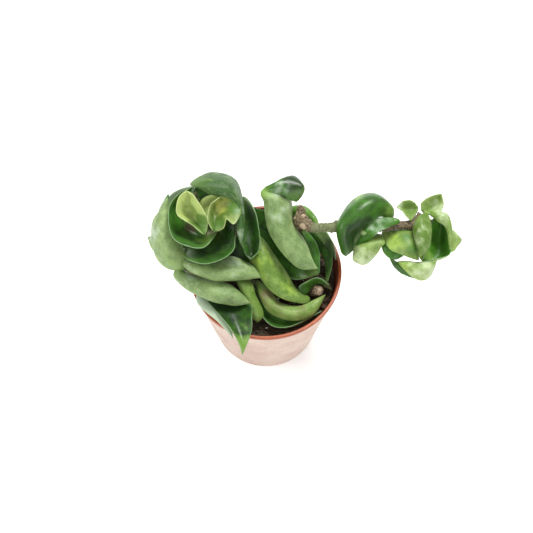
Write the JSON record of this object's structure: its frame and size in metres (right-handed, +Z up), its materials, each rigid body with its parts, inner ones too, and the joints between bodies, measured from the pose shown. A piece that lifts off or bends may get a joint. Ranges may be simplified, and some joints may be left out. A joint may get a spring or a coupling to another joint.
{
  "type": "hindu rope plant in a nursery pot",
  "caption": "Potted wax plant with thick folded leaves in a rosette and along a trailing branch, in a round plastic nursery pot.",
  "frame": {"origin": "middle of the pot's base, on the surface the pot stands on", "axes": "+Z up, +X along the bare branch to its leaf cluster, +Y away from the viewer"},
  "size_m": [0.172, 0.095, 0.1117],
  "materials": {
    "terracotta_plastic": "matte",
    "potting_mix": "coarse, damp",
    "bark": "rough, scarred",
    "old_leaf": "waxy gloss above, matte pale green below",
    "pale_leaf": "waxy, pale underside shown",
    "fresh_leaf": "waxy",
    "young_leaf": "waxy, soft sheen"
  },
  "bodies": {
    "root": {"branch_stem": "bark", "head_stem": "bark", "leaf_behind_knob": "old_leaf", "leaf_blade": "old_leaf", "leaf_branch_pale": "fresh_leaf", "leaf_branch_under": "old_leaf", "leaf_front_dark": "old_leaf", "leaf_front_pale": "pale_leaf", "leaf_head_back_left": "old_leaf", "leaf_head_back_right": "old_leaf", "leaf_head_under": "old_leaf", "leaf_hood": "pale_leaf", "leaf_inner_cup": "old_leaf", "leaf_kidney": "old_leaf", "leaf_left_dark": "old_leaf", "leaf_left_pale": "pale_leaf", "leaf_left_tip": "pale_leaf", "leaf_long_bright": "fresh_leaf", "leaf_long_fold": "pale_leaf", "leaf_low_dark": "old_leaf", "leaf_low_inner": "fresh_leaf", "leaf_low_pale": "pale_leaf", "leaf_low_small": "pale_leaf", "leaf_middle_dark": "old_leaf", "leaf_middle_right": "old_leaf", "leaf_outer_cup": "old_leaf", "leaf_outer_left": "pale_leaf", "leaf_pot_back": "old_leaf", "leaf_pot_left": "old_leaf", "leaf_right_boat": "old_leaf", "leaf_rim_inner": "old_leaf", "leaf_rim_strip": "pale_leaf", "leaf_skirt_lower": "pale_leaf", "leaf_skirt_upper": "pale_leaf", "leaf_stub_curl": "old_leaf", "leaf_tip_below": "pale_leaf", "leaf_tip_below_dark": "old_leaf", "leaf_tip_bowl": "old_leaf", "leaf_tip_end": "pale_leaf", "leaf_tip_front": "pale_leaf", "leaf_tip_left": "pale_leaf", "leaf_tip_rim": "pale_leaf", "leaf_tip_top": "pale_leaf", "leaf_tip_under": "pale_leaf", "leaf_tip_under_right": "pale_leaf", "leaf_tip_wing": "pale_leaf", "leaf_tip_wing_dark": "old_leaf", "leaf_young_back": "young_leaf", "leaf_young_left": "young_leaf", "leaf_young_right": "young_leaf", "pot": "terracotta_plastic", "soil": "potting_mix", "stem_stub": "bark"}
  },
  "joints": []
}
